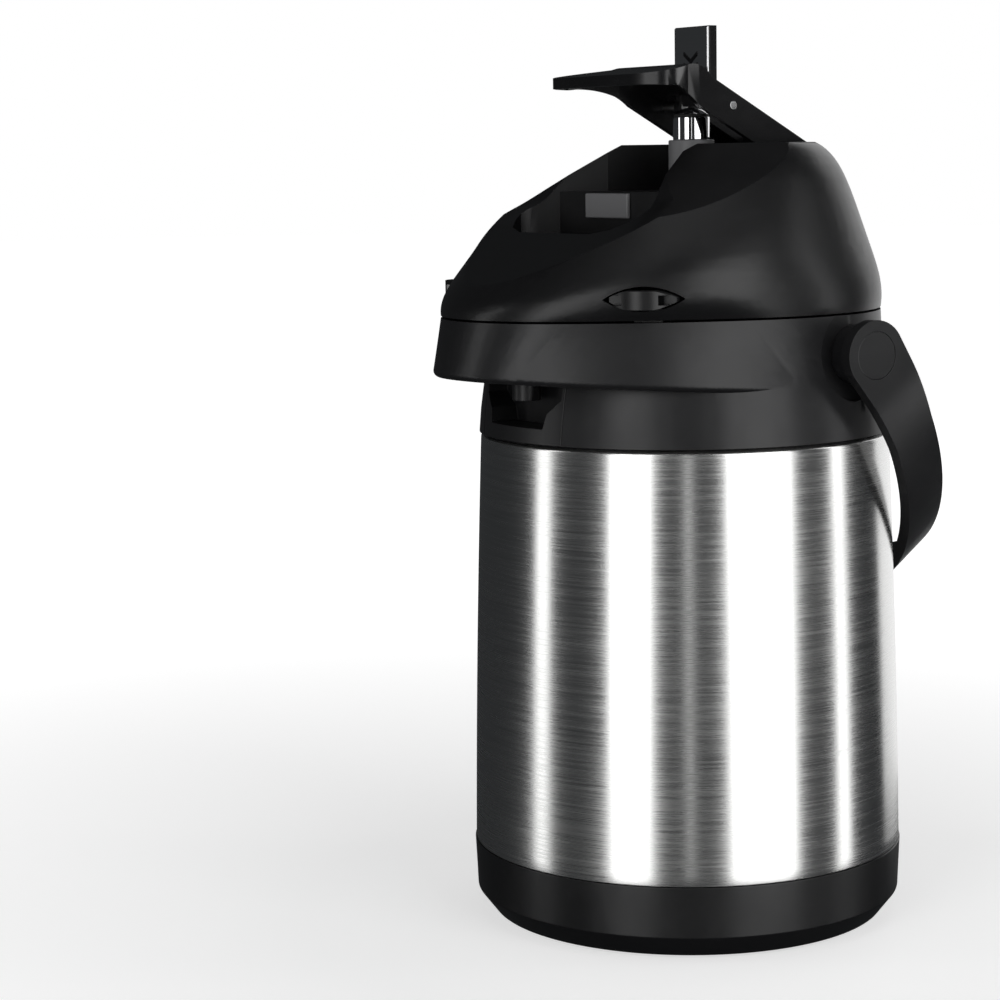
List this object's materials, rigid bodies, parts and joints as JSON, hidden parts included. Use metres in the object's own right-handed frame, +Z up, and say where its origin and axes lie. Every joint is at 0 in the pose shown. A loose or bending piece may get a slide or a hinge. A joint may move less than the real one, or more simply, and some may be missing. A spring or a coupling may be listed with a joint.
{
  "type": "lever airpot",
  "caption": "Stainless steel vacuum flask with a black plastic shoulder and spout nose, hinged domed lid, raised pump lever with flip-back lock, side latches and a swinging carrying handle.",
  "frame": {"origin": "centre of the circle the base rests on, at floor level", "axes": "+Z up, -Y towards the spout, +X to the right of someone looking along +Y"},
  "size_m": [0.166, 0.2012, 0.332],
  "materials": {
    "base_plastic": "moulded, satin",
    "collar_plastic": "moulded, satin",
    "lid_plastic": "moulded, satin",
    "lever_plastic": "moulded, semi-gloss",
    "handle_plastic": "moulded, satin",
    "inner_plastic": "moulded, plain",
    "grey_plastic": "moulded, plain",
    "brushed_steel": "fine brushing round the body",
    "inner_steel": "plain drawn steel",
    "screw_steel": "plain steel",
    "spring_steel": "wire",
    "chrome": "bright plated",
    "rubber": "matt",
    "silicone": "translucent grey, matt"
  },
  "bodies": {
    "vessel": {"base_cup": "base_plastic", "foot_ring": "rubber", "foot_pad": "rubber", "base_screws": "screw_steel", "outer_shell": "brushed_steel", "shell_floor": "inner_steel", "inner_liner": "inner_steel", "collar": "collar_plastic", "nozzle_insert": "collar_plastic", "neck_ring": "inner_plastic", "mouth_gasket": "silicone", "tube_head": "inner_plastic", "dip_tube": "inner_steel", "discharge_tube": "silicone", "spout_nozzle": "collar_plastic", "pivot_boss_right": "collar_plastic", "pivot_boss_left": "collar_plastic", "pivot_pin_right": "screw_steel", "pivot_pin_left": "screw_steel", "lid_hinge_pin": "screw_steel"},
    "lid": {"lid_shell": "lid_plastic", "lid_base_plate": "inner_plastic", "lid_screws": "screw_steel", "pump_seal": "silicone", "lever_rest": "grey_plastic", "bellows": "silicone", "return_spring": "spring_steel", "plunger_guide": "lid_plastic", "lever_hinge_pin": "screw_steel", "latch_spring_right": "spring_steel", "latch_spring_left": "spring_steel"},
    "lever": {"lever": "lever_plastic", "lock_pin_right": "screw_steel", "lock_pin_left": "screw_steel"},
    "lock": {"lock_body": "lever_plastic", "lock_plate": "chrome"},
    "plunger": {"bellows_plate": "inner_plastic", "plunger_stem": "grey_plastic", "plunger_head": "chrome", "plunger_ring": "rubber"},
    "latch_right": {"latch_right": "lid_plastic"},
    "latch_left": {"latch_left": "lid_plastic"},
    "handle": {"handle": "handle_plastic", "pivot_cap_right": "handle_plastic", "pivot_cap_left": "handle_plastic"},
    "valve_ball": {"valve_ball": "screw_steel"}
  },
  "joints": [
    {"name": "lid_hinge", "type": "hinge", "parent": "vessel", "child": "lid", "pos_m": [0, 0.0785, 0.2295], "axis": [-1, 0, 0], "range_deg": [0, 88]},
    {"name": "handle_swing", "type": "hinge", "parent": "vessel", "child": "handle", "pos_m": [0, 0.024, 0.2137], "axis": [-1, 0, 0], "range_deg": [-143, 0]},
    {"name": "lever_hinge", "type": "hinge", "parent": "lid", "child": "lever", "pos_m": [0, 0.04, 0.283], "axis": [1, 0, 0], "range_deg": [0, 27]},
    {"name": "lock_flip", "type": "hinge", "parent": "lever", "child": "lock", "pos_m": [0, 0.0071, 0.3027], "axis": [-1, 0, 0], "range_deg": [0, 105]},
    {"name": "plunger_slide", "type": "slide", "parent": "lid", "child": "plunger", "axis": [0, 0, -1], "range_m": [0, 0.0172], "deforming": ["bellows", "return_spring"]},
    {"name": "latch_right_press", "type": "slide", "parent": "lid", "child": "latch_right", "axis": [-0.7009, 0.7133, 0], "range_m": [0, 0.003]},
    {"name": "latch_left_press", "type": "slide", "parent": "lid", "child": "latch_left", "axis": [0.7009, 0.7133, 0], "range_m": [0, 0.003]},
    {"name": "valve_ball_lift", "type": "slide", "parent": "vessel", "child": "valve_ball", "axis": [0, 0, 1], "range_m": [0, 0.003]}
  ],
  "couplings": [
    {"joint": "plunger_slide", "follows": "lever_hinge", "m_per_rad": 0.0362}
  ]
}
